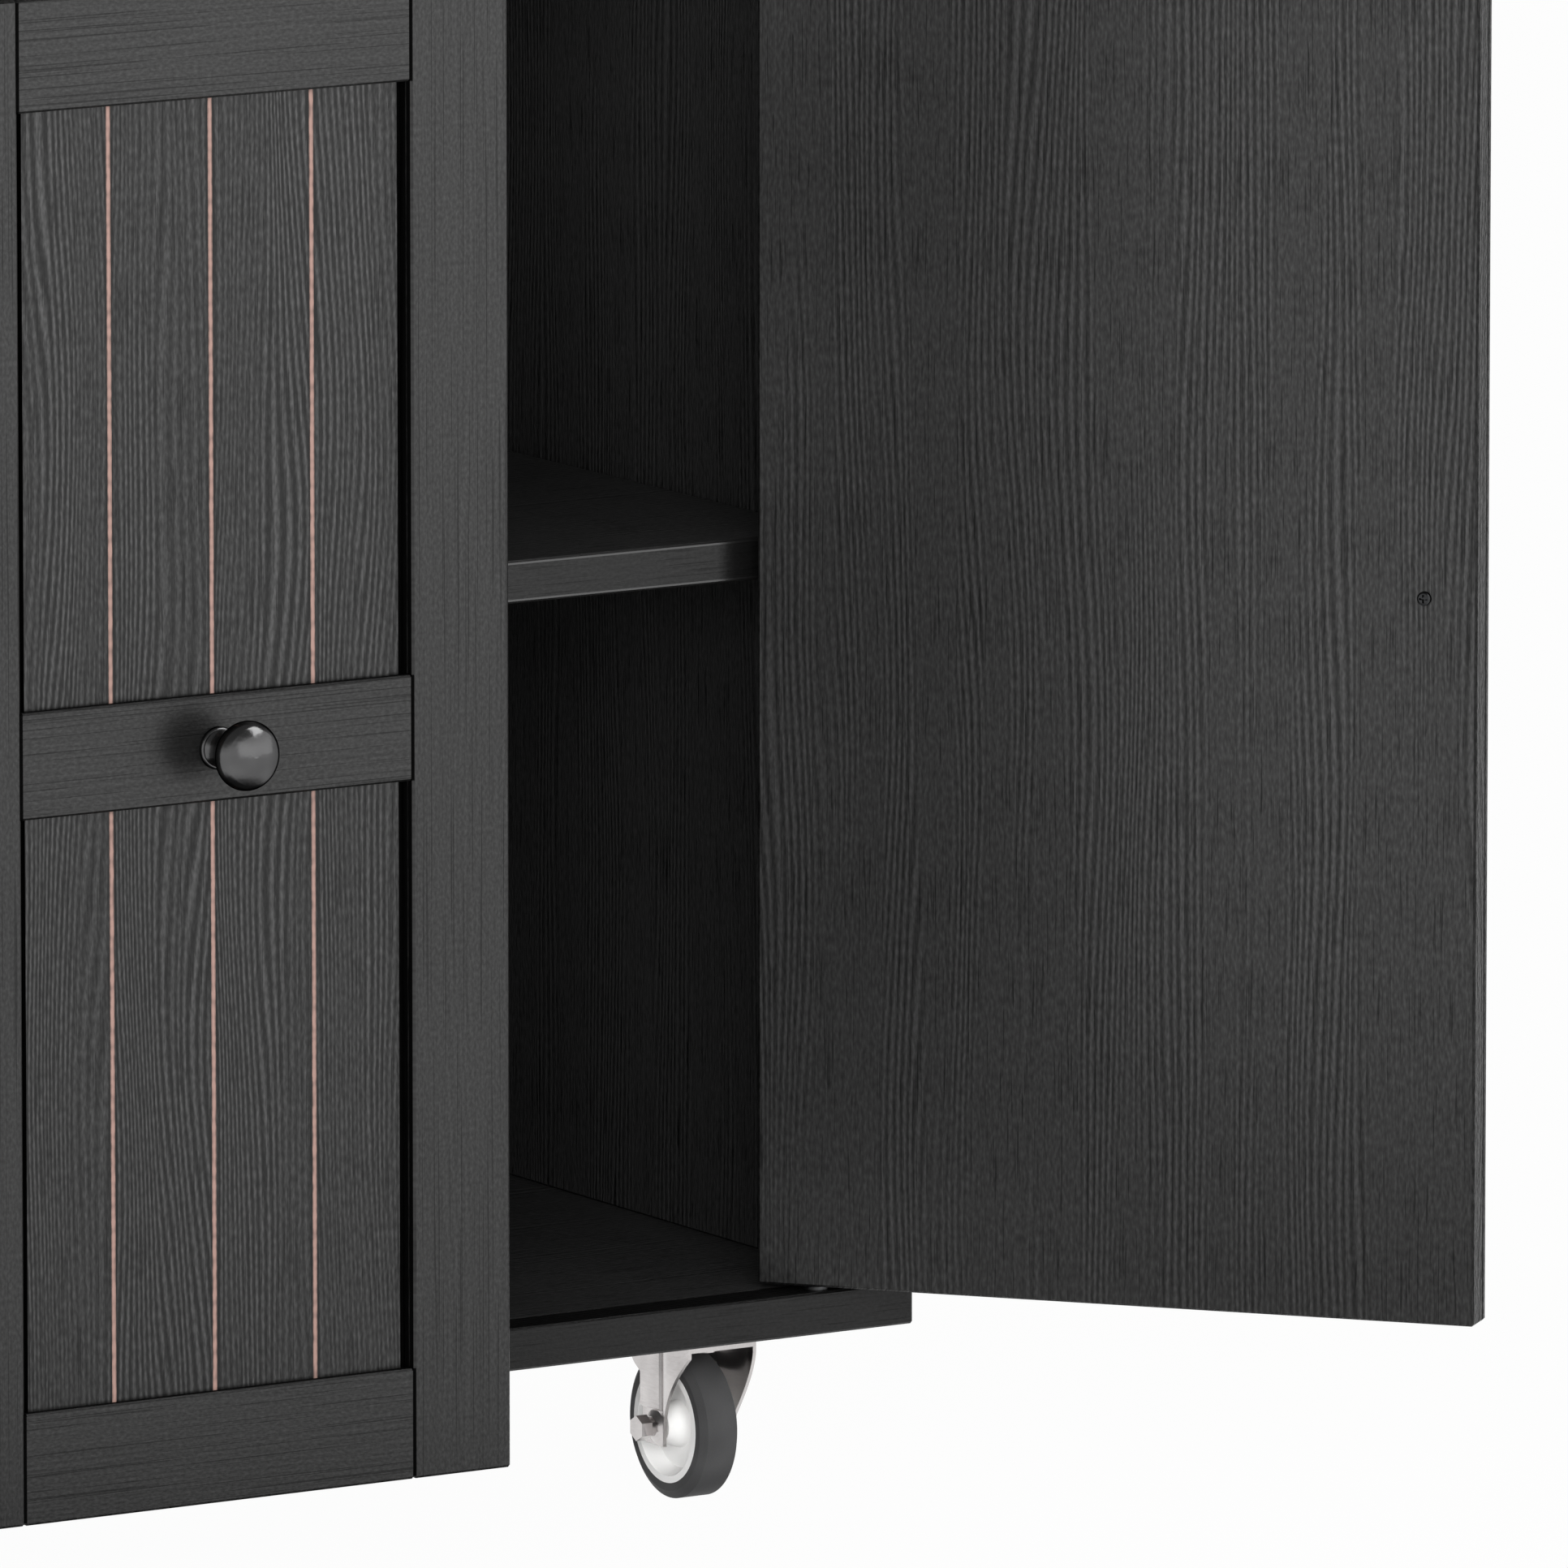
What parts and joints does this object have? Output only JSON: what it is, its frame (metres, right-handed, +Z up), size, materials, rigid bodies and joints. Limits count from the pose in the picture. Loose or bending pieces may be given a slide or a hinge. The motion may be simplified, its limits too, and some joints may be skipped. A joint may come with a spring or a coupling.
{
  "type": "kitchen island cart",
  "caption": "Black wood-grain kitchen island cart on swivel castors, with framed doors, a tall pull-out rack between them, drawers above and a wooden worktop.",
  "frame": {"origin": "on the floor, under the middle of the cabinet", "axes": "+X to the right of someone facing the fronts, +Y to the back of the cabinet, +Z up"},
  "size_m": [1.0354, 0.6955, 0.8645],
  "materials": {
    "black_board": "black embossed wood-grain laminate, satin",
    "box_board": "black laminate, matt",
    "worktop_wood": "oiled hardwood staves, satin",
    "copper_inlay": "copper-coloured foil strip, satin",
    "black_knob": "black paint, satin",
    "zinc_steel": "zinc-plated sheet",
    "chrome": "bright nickel plate",
    "white_nylon": "moulded white nylon",
    "grey_tyre": "moulded grey rubber"
  },
  "bodies": {
    "cabinet": {"back_panel": "black_board", "bottom_front_rail": "black_board", "bottom_panel": "black_board", "cabinet_runners": "zinc_steel", "castor_plates": "chrome", "drawer_deck": "black_board", "drawer_divider": "black_board", "left_partition": "black_board", "left_shelf": "black_board", "left_side_panel": "black_board", "pivot_bushes": "zinc_steel", "right_partition": "black_board", "right_shelf": "black_board", "right_side_panel": "black_board", "shelf_pins": "zinc_steel", "top_rails": "black_board", "worktop": "worktop_wood"},
    "left_door": {"left_door_frame": "black_board", "left_door_inlays": "copper_inlay", "left_door_knob": "black_knob", "left_door_panel": "black_board", "left_door_pivot_pins": "zinc_steel"},
    "right_door": {"right_door_frame": "black_board", "right_door_inlays": "copper_inlay", "right_door_knob": "black_knob", "right_door_panel": "black_board", "right_door_pivot_pins": "zinc_steel"},
    "pullout": {"pullout_back": "black_board", "pullout_frame": "black_board", "pullout_guard_rails": "chrome", "pullout_inlays": "copper_inlay", "pullout_knob": "black_knob", "pullout_panel": "black_board", "pullout_runners": "zinc_steel", "pullout_tiers": "black_board", "pullout_tray": "black_board"},
    "left_drawer": {"left_drawer_box": "box_board", "left_drawer_front": "black_board", "left_drawer_knob": "black_knob", "left_drawer_runners": "zinc_steel"},
    "right_drawer": {"right_drawer_box": "box_board", "right_drawer_front": "black_board", "right_drawer_knob": "black_knob", "right_drawer_runners": "zinc_steel"},
    "front_left_fork": {"front_left_castor_axle": "chrome", "front_left_castor_fork": "chrome"},
    "front_right_fork": {"front_right_castor_axle": "chrome", "front_right_castor_fork": "chrome"},
    "back_left_fork": {"back_left_castor_axle": "chrome", "back_left_castor_fork": "chrome"},
    "back_right_fork": {"back_right_castor_axle": "chrome", "back_right_castor_fork": "chrome"},
    "front_left_wheel": {"front_left_castor_tyre": "grey_tyre", "front_left_castor_wheel": "white_nylon"},
    "front_right_wheel": {"front_right_castor_tyre": "grey_tyre", "front_right_castor_wheel": "white_nylon"},
    "back_left_wheel": {"back_left_castor_tyre": "grey_tyre", "back_left_castor_wheel": "white_nylon"},
    "back_right_wheel": {"back_right_castor_tyre": "grey_tyre", "back_right_castor_wheel": "white_nylon"}
  },
  "joints": [
    {"name": "right_door_swing", "type": "hinge", "parent": "cabinet", "child": "right_door", "pos_m": [0.397, -0.202, 0.084], "axis": [0, 0, 1], "range_deg": [-130, 7]},
    {"name": "left_door_swing", "type": "hinge", "parent": "cabinet", "child": "left_door", "pos_m": [-0.397, -0.202, 0.084], "axis": [0, 0, -1], "range_deg": [0, 137]},
    {"name": "pullout_slide", "type": "slide", "parent": "cabinet", "child": "pullout", "axis": [0, -1, 0], "range_m": [-0.229, 0.031]},
    {"name": "left_drawer_slide", "type": "slide", "parent": "cabinet", "child": "left_drawer", "axis": [0, -1, 0], "range_m": [0, 0.26]},
    {"name": "right_drawer_slide", "type": "slide", "parent": "cabinet", "child": "right_drawer", "axis": [0, -1, 0], "range_m": [0, 0.26]},
    {"name": "front_left_swivel", "type": "hinge", "parent": "cabinet", "child": "front_left_fork", "pos_m": [-0.364, -0.174, 0.06], "axis": [0, 0, 1], "continuous": true},
    {"name": "front_left_roll", "type": "hinge", "parent": "front_left_fork", "child": "front_left_wheel", "pos_m": [-0.364, -0.162, 0.0277], "axis": [1, 0, 0], "continuous": true},
    {"name": "front_right_swivel", "type": "hinge", "parent": "cabinet", "child": "front_right_fork", "pos_m": [0.364, -0.174, 0.06], "axis": [0, 0, 1], "continuous": true},
    {"name": "front_right_roll", "type": "hinge", "parent": "front_right_fork", "child": "front_right_wheel", "pos_m": [0.364, -0.162, 0.0277], "axis": [1, 0, 0], "continuous": true},
    {"name": "back_left_swivel", "type": "hinge", "parent": "cabinet", "child": "back_left_fork", "pos_m": [-0.364, 0.15, 0.06], "axis": [0, 0, 1], "continuous": true},
    {"name": "back_left_roll", "type": "hinge", "parent": "back_left_fork", "child": "back_left_wheel", "pos_m": [-0.364, 0.162, 0.0277], "axis": [1, 0, 0], "continuous": true},
    {"name": "back_right_swivel", "type": "hinge", "parent": "cabinet", "child": "back_right_fork", "pos_m": [0.364, 0.15, 0.06], "axis": [0, 0, 1], "continuous": true},
    {"name": "back_right_roll", "type": "hinge", "parent": "back_right_fork", "child": "back_right_wheel", "pos_m": [0.364, 0.162, 0.0277], "axis": [1, 0, 0], "continuous": true}
  ]
}
